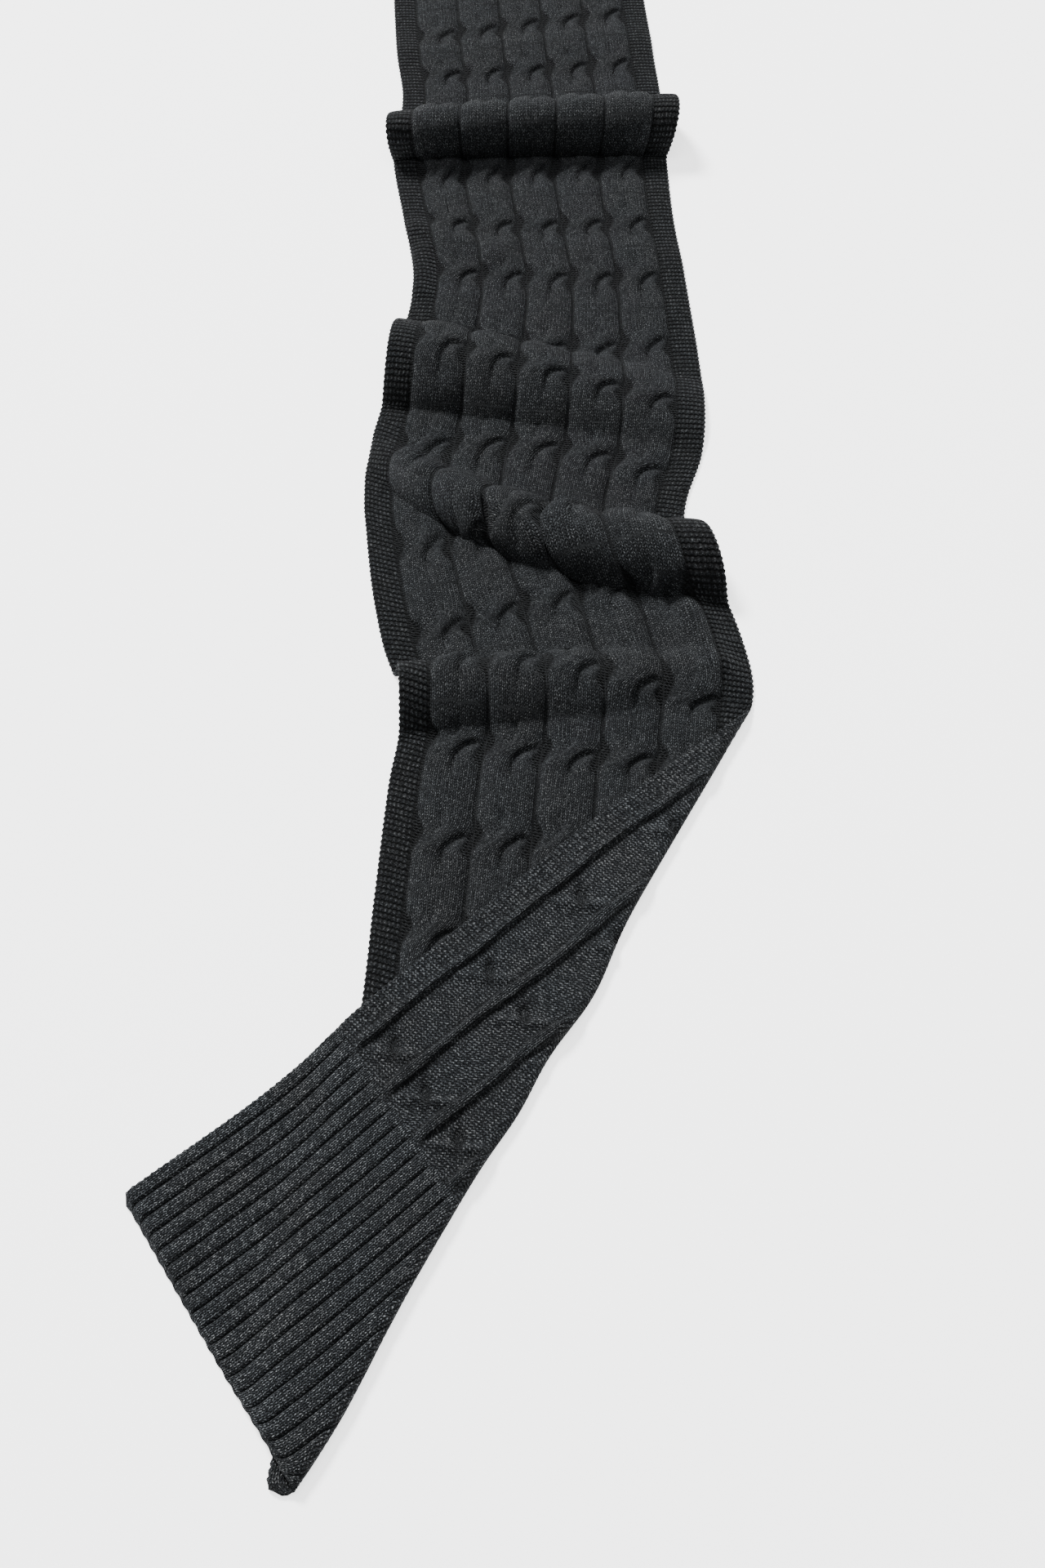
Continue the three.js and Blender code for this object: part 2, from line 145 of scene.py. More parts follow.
def eased_arch(u, ease):
    """An arch from 0 at u = 0 over 1 at the crest to 0 at u = 1, with rounded feet."""
    foot = np.clip(np.minimum(u, 1 - u) + ease, 0, 2 * ease)
    rounded = (2 * foot**2 - 4 / 3 * foot**3) / (2 * ease)
    return np.where(foot < 2 * ease, rounded, 4 * u * (1 - u) - 4 / 3 * ease**2)


def over_waves(x, y, waves):
    """The cloth's lower surface, pushed up into its waves."""
    left = edge_at(y, LEFT)
    t = (x - left) / (edge_at(y, RIGHT) - left)
    laid = [x.copy(), y.copy(), np.zeros_like(x)]
    for wave in waves:
        back = across(wave["back"], t)
        run = back - across(wave["front"], t)
        height = across(wave["height"], t)
        u = (back - y) / run
        rise = eased_arch(u, np.minimum(FILLET / run, 0.3))
        inside = np.clip(u, 0, 1)
        upright = np.clip(UPRIGHT * height / run, 0, 1)
        laid[1] += across(wave["lean"], t) * rise - run * upright * (smooth(inside) - inside)
        laid[0] += across(wave["spread"], t) * rise
        laid[2] += height * rise
    return laid


def over_fold(x, y):
    """The same surface past the fold: round the bend, back over the cloth, down to the table."""
    past = past_fold(x, y)
    angle = np.clip(past / BEND_MIDDLE, 0, math.pi)
    back = np.maximum(past - HALF_TURN, 0)
    reach = BEND_OUTER * np.sin(angle) - back - past
    laid_x, laid_y = x + FOLD_OUT[0] * reach, y + FOLD_OUT[1] * reach
    overhang = edge_at(np.maximum(laid_y, -0.5), LEFT) - laid_x
    drop = LIFTED * smooth(overhang / STEP_DOWN) * (back > 0)
    return [laid_x, laid_y, BEND_OUTER * (1 - np.cos(angle)) - drop]


def soft_folds(x, y, folds):
    """Height of the small soft folds and troughs that lie along short lines on the plan."""
    rise = np.zeros_like(x)
    for fold in folds:
        (x0, y0), (x1, y1) = fold["from"], fold["to"]
        along = ((x - x0) * (x1 - x0) + (y - y0) * (y1 - y0)) / ((x1 - x0)**2 + (y1 - y0)**2)
        near = np.clip(along, 0, 1)
        off = np.hypot(x - x0 - near * (x1 - x0), y - y0 - near * (y1 - y0))
        rise += fold["rise"] * np.exp(-(off / fold["width"])**2)
    return rise


def wrong_side(x, y, waves, folds):
    """Points of the cloth's lower surface as it lies, for points of the flat plan."""
    turned = past_fold(x, y) > 0
    points = np.where(turned, over_fold(x, y), over_waves(x, y, waves))
    lift = soft_folds(x, y, folds)
    points[2] = np.maximum(points[2] + lift, 0)
    from_x, from_y = points[0] - FOLD_AT[0], points[1] - FOLD_AT[1]
    along = from_x * FOLD_OUT[1] - from_y * FOLD_OUT[0]
    inland = from_x * FOLD_OUT[0] + from_y * FOLD_OUT[1]
    for place, out, half in FOLD_BULGES:
        push = out * np.exp(-((along - place) / half)**2 - (inland / BULGE_INLAND)**2)
        points[0] += FOLD_OUT[0] * push
        points[1] += FOLD_OUT[1] * push
    return np.moveaxis(points, 0, -1)


def cloth_normals(x, y, waves, folds):
    """Unit normals from the wrong side of the cloth towards its right side."""
    here = wrong_side(x, y, waves, folds)

    def slope(dx, dy):
        ahead = wrong_side(x + dx, y + dy, waves, folds) - here
        behind = here - wrong_side(x - dx, y - dy, waves, folds)
        return (ahead / np.linalg.norm(ahead, axis=-1, keepdims=True)
                + behind / np.linalg.norm(behind, axis=-1, keepdims=True))

    normal = np.cross(slope(NORMAL_STEP, 0), slope(0, NORMAL_STEP))
    return normal / np.linalg.norm(normal, axis=-1, keepdims=True)


def bare_share(x, y):
    """1 where the right side lies bare, 0 where the turned end presses its relief flat."""
    past = past_fold(x, y) - HALF_TURN / 2
    turned_x, turned_y = x - 2 * past * FOLD_OUT[0], y - 2 * past * FOLD_OUT[1]
    covered = np.maximum(edge_at(turned_y, RIGHT) - turned_x, 0)
    under = (past <= 0) & (turned_y > NEAR_END[0]) & (turned_y < FOLD_AT[1])
    return np.where(under, 1 - smooth(covered / COVER_FADE), np.where(past > -HALF_TURN / 2, 0, 1))


def plan_grid(legs, shares, waves, folds):
    """Rows of the plan's grid between lines across the cloth, about GRID_ROW of cloth apart, with
    one spare row past each end for the shading."""
    probe = np.array([[0.02], [0.5], [0.98]])
    rows = []
    for start, end in legs:
        part = np.linspace(0, 1, 60)[None, :]
        y = across(start, probe) * (1 - part) + across(end, probe) * part
        x = edge_at(y, LEFT) + (edge_at(y, RIGHT) - edge_at(y, LEFT)) * probe
        length = np.linalg.norm(np.diff(wrong_side(x, y, waves, folds), axis=1), axis=-1).sum(1).max()
        steps = max(int(math.ceil(length / GRID_ROW)), 1)
        rows += [np.array(start) + (np.array(end) - start) * i / steps for i in range(steps)]
    rows.append(np.array(legs[-1][1]))
    rows = [2 * rows[0] - rows[1], *rows, 2 * rows[-1] - rows[-2]]
    y = np.array([across(row, shares) for row in rows])
    left = edge_at(y, LEFT)
    return left + (edge_at(y, RIGHT) - left) * shares, y


def grid_normals(points):
    normal = np.cross(np.gradient(points, axis=0), np.gradient(points, axis=1))
    return normal / np.linalg.norm(normal, axis=-1, keepdims=True)


def grid_shell(name, right, wrong, maps, right_wool, wrong_wool):
    """A closed thin shell between two grids of points. maps holds each side's stitch places for the
    corners of its faces, and its painted shade, garter and purl values for its points."""
    shade = {"right": grid_normals(right)[1:-1], "wrong": -grid_normals(wrong)[1:-1]}
    right, wrong = right[1:-1], wrong[1:-1]
    rows, columns = right.shape[:2]
    top = np.arange(rows * columns).reshape(rows, columns)
    under = top + rows * columns
    quads = [np.stack([top[:-1, :-1], top[1:, :-1], top[1:, 1:], top[:-1, 1:]], -1).reshape(-1, 4),
             np.stack([under[:-1, :-1], under[:-1, 1:], under[1:, 1:], under[1:, :-1]], -1).reshape(-1, 4),
             np.stack([top[:-1, 0], under[:-1, 0], under[1:, 0], top[1:, 0]], -1),
             np.stack([top[1:, -1], under[1:, -1], under[:-1, -1], top[:-1, -1]], -1),
             np.stack([top[0, :-1], top[0, 1:], under[0, 1:], under[0, :-1]], -1),
             np.stack([top[-1, 1:], top[-1, :-1], under[-1, :-1], under[-1, 1:]], -1)]
    faces = np.concatenate(quads)
    mesh = bpy.data.meshes.new(name)
    mesh.from_pydata(np.concatenate([right.reshape(-1, 3), wrong.reshape(-1, 3)]), [], faces)
    mesh.materials.append(right_wool)
    mesh.materials.append(wrong_wool)
    side = np.zeros(len(faces), np.int32)
    side[len(quads[0]):len(quads[0]) + len(quads[1])] = 1
    mesh.polygons.foreach_set("material_index", side)
    mesh.polygons.foreach_set("use_smooth", np.ones(len(faces), bool))
    stitch = mesh.uv_layers.new(name="Stitch")
    flat = np.zeros((len(faces) * 4, 2), np.float32)
    corners = np.concatenate([maps["right_corners"].reshape(-1, 2), maps["wrong_corners"].reshape(-1, 2)])
    flat[:len(corners)] = corners
    stitch.data.foreach_set("uv", flat.ravel())
    # shade is painted shade, a darkening of the colour in gutters, creases, grooves and hollows; garter and purl
    # choose the stitch.
    for field in ("shade", "garter", "purl"):
        values = np.concatenate([maps["right_" + field][1:-1].ravel(), maps["wrong_" + field][1:-1].ravel()])
        mesh.attributes.new(field, "FLOAT", "POINT").data.foreach_set("value", values.astype(np.float32))
    mesh.normals_split_custom_set_from_vertices(
        np.concatenate([shade["right"].reshape(-1, 3), shade["wrong"].reshape(-1, 3)]))
    mesh.validate(clean_customdata=False)
    piece = bpy.data.objects.new(name, mesh)
    bpy.context.scene.collection.objects.link(piece)
    return piece


def cell_corners(values):
    """The four corners' values of each cell of a grid, in the order of the right side's faces."""
    return np.stack([values[:-1, :-1], values[1:, :-1], values[1:, 1:], values[:-1, 1:]], -1)


def laid_cloth(name, legs, shares, right_knit, wrong_knit, waves, folds, free_rows, wools):
    """One stretch of the scarf. right_knit and wrong_knit give the relief, painted shade and stitches
    of a side; free_rows says whether the first and last row are a free end of the scarf."""
    x, y = plan_grid(legs, shares, waves, folds)
    t = np.broadcast_to(shares, x.shape)
    base = wrong_side(x, y, waves, folds)
    step = np.linalg.norm(np.diff(base, axis=0), axis=-1)
    length = np.concatenate([np.zeros((1, x.shape[1])), np.cumsum(step, axis=0)])
    normal = cloth_normals(x, y, waves, folds)
    place = {"t": t, "x": x, "y": y, "length": length}
    right, wrong = right_knit(place), wrong_knit(place)
    width = edge_at(y, RIGHT) - edge_at(y, LEFT)
    inset = np.minimum(t, 1 - t) * width
    if free_rows[0]:
        inset = np.minimum(inset, np.abs(length - length[1]))
    if free_rows[1]:
        inset = np.minimum(inset, np.abs(length - length[-2]))
    fullness = np.sqrt(np.clip(1 - (1 - np.minimum(inset / EDGE_ROUND, 1))**2, EDGE_THINNEST**2, 1))
    turned = smooth(2 * past_fold(x, y) / HALF_TURN - 1)
    up = WALL / 2 + (WALL / 2 + right["rise"] * bare_share(x, y)) * fullness
    down = WALL / 2 - (WALL / 2 + wrong["rise"] * turned) * fullness
    bump = SELVEDGE_BUMP * np.cos(math.pi * length / STITCH_ROW) * np.exp(-inset / EDGE_ROUND)
    sideways = np.sign(t - 0.5) * bump * (np.minimum(t, 1 - t) * width < 3 * EDGE_ROUND)
    lengthways = np.gradient(base, axis=0) / np.maximum(
        np.linalg.norm(np.gradient(base, axis=0), axis=-1, keepdims=True), 1e-9)
    crossways = np.cross(lengthways, normal)
    crossways = -crossways if np.mean(crossways[..., 0]) < 0 else crossways
    base = base + crossways * sideways[..., None]
    if "end_rise" in right:
        base = base + lengthways * right["end_rise"][..., None]
    maps = {}
    for side, knit in (("right", right), ("wrong", wrong)):
        maps[side + "_corners"] = knit["corners"][1:-1]
        for field in ("shade", "garter", "purl"):
            maps[side + "_" + field] = knit[field]
    maps["wrong_corners"] = maps["wrong_corners"][:, :, [0, 3, 2, 1]]
    top = base + normal * up[..., None]
    under = base + normal * down[..., None]
    top[..., 2] = np.maximum(top[..., 2], 0)
    under[..., 2] = np.maximum(under[..., 2], 0)
    return grid_shell(name, top + MOVE, under + MOVE, maps, *wools)


def joined(rise, y):
    """The relief runs out softly towards the line where the panel changes to rib."""
    to_rib = np.minimum(np.abs(y - FAR_RIB[0]), np.abs(y - NEAR_RIB[0]))
    return JOIN_RISE + (rise - JOIN_RISE) * smooth(to_rib / JOIN_FADE)


def rib_knit(place):
    """Both sides of the rib: 20 flat ribs of knit stitches with narrow purl grooves."""
    t, length = place["t"], place["length"]
    off = np.abs(t * RIBS - np.round(t * RIBS))
    rise = RIB_RISE * (0.84 * smooth(off / 0.115) + 0.16 * smooth(off / 0.45))
    to_end = np.minimum(np.abs(place["y"] - FAR_END[0]), np.abs(place["y"] - NEAR_END[0]))
    rise = END_RISE + (rise - END_RISE) * smooth(to_end / END_FADE)
    end_rise = END_SCALLOP * np.cos(2 * math.pi * t * RIBS) * np.exp(-to_end / 0.004)
    stitch = cell_corners(np.stack([t * STITCHES, length / STITCH_ROW], 2))
    zero = np.zeros_like(t)
    # Painted shade: the shade value darkens the narrow grooves between the ribs.
    return {"rise": joined(rise, place["y"]), "end_rise": end_rise, "corners": np.moveaxis(stitch, 2, 3),
            "shade": 0.92 * (1 - smooth(off / 0.095)), "garter": zero, "purl": zero}


def shader_node(tree, kind, inputs=None, **settings):
    """A shader node with its settings, each input linked or given its value."""
    node = tree.nodes.new(kind)
    for name, value in settings.items():
        setattr(node, name, value)
    for name, value in (inputs or {}).items():
        if isinstance(value, bpy.types.NodeSocket):
            tree.links.new(value, node.inputs[name])
        else:
            node.inputs[name].default_value = value
    return node


def sums(tree, operation, *values):
    """The result of one Math node."""
    return shader_node(tree, "ShaderNodeMath", dict(enumerate(values)), operation=operation).outputs[0]


def shader_group(name, inputs, outputs):
    """A node group with named inputs and outputs, each a name and a socket type."""
    group = bpy.data.node_groups.new(name, "ShaderNodeTree")
    for label, kind in inputs:
        group.interface.new_socket(label, in_out="INPUT", socket_type="NodeSocket" + kind)
    for label, kind in outputs:
        group.interface.new_socket(label, in_out="OUTPUT", socket_type="NodeSocket" + kind)
    return group, group.nodes.new("NodeGroupInput"), group.nodes.new("NodeGroupOutput")


def knit_loops():
    """Height of the loops of yarn, as V stitches, purl bumps or garter ridges, and a chance tone for
    each leg of a stitch."""
    group, given, made = shader_group(
        "knit_loops", [("Stitch", "Vector"), ("Garter", "Float"), ("Purl", "Float")],
        [("Height", "Float"), ("Tone", "Float")])
    places = shader_node(group, "ShaderNodeSeparateXYZ", {"Vector": given.outputs["Stitch"]})
    u, v = places.outputs["X"], places.outputs["Y"]
    off = sums(group, "ABSOLUTE", sums(group, "SUBTRACT", sums(group, "FRACT", u), 0.5))
    climb = sums(group, "MULTIPLY_ADD", off, LEG_SLANT, v)
    along = sums(group, "SINE", sums(group, "MULTIPLY", sums(group, "FRACT", climb), math.pi))
    beside = sums(group, "SINE", sums(group, "MULTIPLY", off, 2 * math.pi))
    knit = sums(group, "MULTIPLY", sums(group, "POWER", along, 0.5), sums(group, "POWER", beside, 0.6))
    leg = shader_node(group, "ShaderNodeCombineXYZ", {
        "X": sums(group, "FLOOR", sums(group, "MULTIPLY", u, 2)), "Y": sums(group, "FLOOR", climb)})
    wave = sums(group, "COSINE", sums(group, "MULTIPLY", u, 2 * math.pi))
    course = sums(group, "MULTIPLY_ADD", wave, 0.16, v)
    bead = sums(group, "SINE", sums(group, "MULTIPLY", sums(group, "FRACT", course), math.pi))
    notch = sums(group, "MULTIPLY_ADD", wave, 0.12, 0.88)
    purl = sums(group, "MULTIPLY", sums(group, "POWER", bead, 0.8), notch)
    loop = shader_node(group, "ShaderNodeCombineXYZ", {
        "X": sums(group, "FLOOR", sums(group, "MULTIPLY", u, 2)), "Y": sums(group, "FLOOR", course)})
    half = sums(group, "FRACT", sums(group, "MULTIPLY", course, 0.5))
    ridge = sums(group, "SINE", sums(group, "MULTIPLY", half, math.pi))
    beads = sums(group, "MULTIPLY", sums(group, "POWER", ridge, 1.5), sums(group, "MULTIPLY_ADD", wave, 0.26, 0.74))
    garter = sums(group, "MULTIPLY_ADD", beads, 0.95, sums(group, "MULTIPLY", purl, 0.22))
    plain = shader_node(group, "ShaderNodeMix", {"Factor": given.outputs["Purl"], "A": knit, "B": purl},
                        data_type="FLOAT")
    band = shader_node(group, "ShaderNodeMix", {"Factor": given.outputs["Garter"], "A": plain.outputs[0],
                                                "B": garter}, data_type="FLOAT")
    group.links.new(band.outputs[0], made.inputs["Height"])
    rough_side = sums(group, "GREATER_THAN", sums(group, "ADD", given.outputs["Garter"],
                                                  given.outputs["Purl"]), 0.5)
    cell = shader_node(group, "ShaderNodeMix", {"Factor": rough_side}, data_type="VECTOR")
    group.links.new(leg.outputs[0], cell.inputs[4])
    group.links.new(loop.outputs[0], cell.inputs[5])
    tone = shader_node(group, "ShaderNodeTexWhiteNoise", {"Vector": cell.outputs[1]})
    group.links.new(tone.outputs["Value"], made.inputs["Tone"])
    return group


def marled_yarn():
    """Colour of the marled wool: charcoal fibres with pale and black flecks, in soft tone patches, with painted
    shade between the loops and in the hollows, and a painted brightness for each part.
    """
    group, given, made = shader_group(
        "marled_yarn", [("Place", "Vector"), ("Height", "Float"), ("Tone", "Float"), ("PaintedShade", "Float"),
                        ("PaintedLight", "Float")], [("Color", "Color")])
    place = given.outputs["Place"]
    fleck = shader_node(group, "ShaderNodeTexNoise", {"Vector": place, "Scale": 900.0, "Detail": 2.0,
                                                      "Roughness": 0.6})
    patch = shader_node(group, "ShaderNodeTexNoise", {"Vector": place, "Scale": 24.0, "Detail": 3.0,
                                                      "Roughness": 0.55})
    grain = sums(group, "MULTIPLY_ADD", sums(group, "SUBTRACT", given.outputs["Tone"], 0.5), 0.13,
                 fleck.outputs[0])
    ramp = shader_node(group, "ShaderNodeValToRGB", {"Fac": grain})
    stops = ramp.color_ramp.elements
    stops[0].position, stops[0].color = 0.37, (*BLACK_FIBRE, 1)
    stops[1].position, stops[1].color = 0.68, (*PALE_FIBRE, 1)
    stops.new(0.51).color = (*GREY_FIBRE, 1)
    warmth = shader_node(group, "ShaderNodeMapRange", {"Value": patch.outputs[0], "From Min": 0.35,
                                                       "From Max": 0.65})
    tint = shader_node(group, "ShaderNodeMix", {"Factor": warmth.outputs[0]}, data_type="RGBA")
    tint.inputs[6].default_value = (0.975, 1.0, 1.02, 1)
    tint.inputs[7].default_value = (1.02, 0.995, 0.98, 1)
    tinted = shader_node(group, "ShaderNodeMix", {"Factor": 1.0}, data_type="RGBA", blend_type="MULTIPLY")
    group.links.new(ramp.outputs["Color"], tinted.inputs[6])
    group.links.new(tint.outputs[2], tinted.inputs[7])
    # Painted shade: the colour darkens towards the low parts of the loop relief, between the stitches.
    depth = sums(group, "MULTIPLY_ADD", sums(group, "POWER", given.outputs["Height"], 2.2), 1.42, 0.03)
    # Painted shade: darker still where the shade attribute marks gutters, creases, grooves and hollows.
    painted_shade = sums(group, "MULTIPLY", depth, sums(group, "MULTIPLY_ADD", given.outputs["PaintedShade"], -0.84, 1.0))
    # Painted light: the colour is scaled by the brightness factor of this copy of the wool.
    lit = sums(group, "MULTIPLY", painted_shade, given.outputs["PaintedLight"])
    dark = shader_node(group, "ShaderNodeCombineColor", {"Red": lit, "Green": lit, "Blue": lit})
    final = shader_node(group, "ShaderNodeMix", {"Factor": 1.0}, data_type="RGBA", blend_type="MULTIPLY")
    group.links.new(tinted.outputs[2], final.inputs[6])
    group.links.new(dark.outputs[0], final.inputs[7])
    group.links.new(final.outputs[2], made.inputs["Color"])
    return group


LEG_SLANT = 1.8
BLACK_FIBRE = (0.0035, 0.0042, 0.0050)
GREY_FIBRE = (0.0194, 0.0218, 0.0248)
PALE_FIBRE = (0.1230, 0.1300, 0.1340)
LOOPS, YARN = knit_loops(), marled_yarn()


def wool(name, bump, painted_light):
    """A matt knitted wool. bump is the height of its loops in metres, and bloom is painted light:
    a factor that makes this copy of the one wool lighter or darker, as its part is lit."""
    material = bpy.data.materials.new(name)
    material.use_nodes = True
    tree = material.node_tree
    shader = tree.nodes["Principled BSDF"]
    shader.inputs["Roughness"].default_value = 0.95
    shader.inputs["Specular IOR Level"].default_value = 0.10
    shader.inputs["Sheen Weight"].default_value = 0.04
    shader.inputs["Sheen Roughness"].default_value = 0.45
    shader.inputs["Sheen Tint"].default_value = (0.75, 0.80, 0.85, 1)
    stitch = shader_node(tree, "ShaderNodeUVMap", uv_map="Stitch").outputs["UV"]
    fields = {field: shader_node(tree, "ShaderNodeAttribute", attribute_name=field).outputs["Fac"]
              for field in ("shade", "garter", "purl")}
    place = shader_node(tree, "ShaderNodeTexCoord").outputs["Object"]
    wobble = shader_node(tree, "ShaderNodeTexNoise", {"Vector": place, "Scale": 130.0, "Detail": 1.0})
    offset = shader_node(tree, "ShaderNodeVectorMath", {0: wobble.outputs["Color"], 1: (0.5, 0.5, 0.5)},
                         operation="SUBTRACT")
    moved = shader_node(tree, "ShaderNodeVectorMath", {0: offset.outputs[0], 1: (0.45, 0.45, 0.0), 2: stitch},
                        operation="MULTIPLY_ADD")
    loops = shader_node(tree, "ShaderNodeGroup", node_tree=LOOPS)
    tree.links.new(moved.outputs[0], loops.inputs["Stitch"])
    tree.links.new(fields["garter"], loops.inputs["Garter"])
    tree.links.new(fields["purl"], loops.inputs["Purl"])
    yarn = shader_node(tree, "ShaderNodeGroup", node_tree=YARN)
    # Painted light: how much lighter or darker this copy of the wool is made, as its part is lit.
    yarn.inputs["PaintedLight"].default_value = painted_light
    tree.links.new(place, yarn.inputs["Place"])
    tree.links.new(loops.outputs["Height"], yarn.inputs["Height"])
    tree.links.new(loops.outputs["Tone"], yarn.inputs["Tone"])
    tree.links.new(fields["shade"], yarn.inputs["PaintedShade"])
    tree.links.new(yarn.outputs["Color"], shader.inputs["Base Color"])
    fibre = shader_node(tree, "ShaderNodeTexNoise", {"Vector": place, "Scale": 1400.0, "Detail": 2.0})
    rough = sums(tree, "MULTIPLY_ADD", fibre.outputs[0], 0.35, loops.outputs["Height"])
    relief = shader_node(tree, "ShaderNodeBump", {"Height": rough, "Distance": bump, "Strength": 1.0})
    tree.links.new(relief.outputs["Normal"], shader.inputs["Normal"])
    return material


# Painted light: the last number lightens or darkens this copy of the one wool; the rib's copy is made lighter than
# the cabled one.
RIB_WOOL = wool("rib_wool", 0.0015, 0.80)
ROOM = 0.00015
far_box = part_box("far_rib_end")
MOVE = np.array([far_box[1].x - float(edge_at(FAR_RIB[0] + ROOM, RIGHT)), far_box[1].y - FAR_END[0] + ROOM, 0])

RIB_COLUMNS = np.array([0, 0.05, 0.11, 0.20, 0.34, 0.50, 0.66, 0.80, 0.89, 0.95])
RIB_SHARES = np.concatenate([(rib + RIB_COLUMNS) / RIBS for rib in range(RIBS)] + [[1]])


def dressed(piece, nodes):
    """Hangs a stretch of the cloth from the root body and hides the model's parts that it stands in for."""
    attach(piece, "root")
    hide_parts(*nodes)


far_rib = laid_cloth("far_rib_cloth", [(FAR_END, FAR_RIB)], RIB_SHARES, rib_knit, rib_knit, [], [],
                     (True, False), (RIB_WOOL, RIB_WOOL))
dressed(far_rib, ["far_rib_end"])

# The far cabled stretch
# Five cables of wool side by side between two garter borders. Each cable is two strands of knit
# stitches that cross every 80 mm, left over right. It is pushed up into one tall roll.

CABLES = 5
CABLE_STITCHES = 14
BORDER_STITCHES = 7
BORDER = 0.087
CABLE_RISE = 0.0052
BORDER_RISE = 0.0012
RIDGE_RISE = 0.0034
PIT_DEPTH = 0.0055
CROSSING = 0.11
END_FROM = -0.20
END_ALONG = 0.27
END_ACROSS = 1.0
END_SIDE = 0.95
FIRST_PITCH = 0.082

# Rows where the cables cross: y at the left edge, in the middle and at the right edge
CROSSINGS = (
    (1.012, 1.030, 1.052), (0.918, 0.948, 0.978), (0.860, 0.872, 0.888), (0.790, 0.795, 0.800),
    (0.700, 0.712, 0.721), (0.640, 0.632, 0.641), (0.570, 0.560, 0.562), (0.510, 0.467, 0.482),
    (0.452, 0.4175, 0.384), (0.335, 0.346, 0.300), (0.215, 0.247, 0.230), (0.122, 0.174, 0.192),
    (0.080, 0.092, 0.060), (0.042, 0.022, 0.017), (-0.050, -0.055, -0.042), (-0.130, -0.138, -0.140),
    (-0.220, -0.225, -0.226), (-0.308, -0.312, -0.310),
)

PAST_ROLL = (0.690, 0.690, 0.690)
far_roll = {"back": (0.790, 0.800, 0.806), "front": (0.736, 0.741, 0.742), "height": (0.040, 0.043, 0.044),
            "lean": (-0.022, -0.016, -0.010), "spread": (-0.006, 0.002, 0.012)}
far_folds = [
    {"from": (-0.120, 0.905), "to": (0.120, 0.925), "rise": 0.0022, "width": 0.024},
    {"from": (-0.112, 0.722), "to": (-0.060, 0.715), "rise": 0.0030, "width": 0.012},
]


def crossing_phase(place):
    """Signed distance along the cloth from the nearest crossing row, as a share of the pitch:
    above 0 on its far side."""
    t, y, length = place["t"], place["y"], place["length"]
    columns = []
    for c in range(t.shape[1]):
        rows = np.array([across(line, t[0, c]) for line in CROSSINGS])
        at = np.interp(-rows, -y[:, c], length[:, c])
        at += np.where(rows > y[0, c], y[0, c] - rows, 0) + np.where(rows < y[-1, c], y[-1, c] - rows, 0)
        at = np.r_[at[0] - FIRST_PITCH, at, at[-1] + FIRST_PITCH]
        nearest = np.clip(np.abs(length[:, c, None] - at).argmin(1), 1, len(at) - 2)
        off = at[nearest] - length[:, c]
        pitch = np.where(off > 0, at[nearest] - at[nearest - 1], at[nearest + 1] - at[nearest])
        columns.append(off / pitch)
    return np.stack(columns, 1)


def cable_places(t):
    """The cable each point lies in, and its place across that cable from -1 to 1."""
    place = (t - BORDER) / (1 - 2 * BORDER) * CABLES
    index = np.clip(np.floor(place), 0, CABLES - 1)
    return index, 2 * (place - index) - 1


def strand_shift(phase):
    """Where the upper strand runs at a crossing: from the left half of the cable to the right."""
    return 0.5 * np.tanh(phase / CROSSING)


def strand_end(c, phase):
    """How deep a strand lies where it comes out below a crossing, from 1 at the crease over its
    rounded end to 0 where it is full again."""
    beyond = np.maximum(phase - END_FROM, 0) / END_ALONG
    inward = 1 - np.hypot(np.minimum(c - END_SIDE, 0) / END_ACROSS, beyond)
    fade = smooth((phase - END_FROM + 0.20) / 0.18)
    return fade * np.exp(-np.maximum(inward, 0) / 0.24) / (1 + np.exp(-inward / 0.025))


def near_crossing(phase):
    return np.exp(-(phase / 0.19)**2)


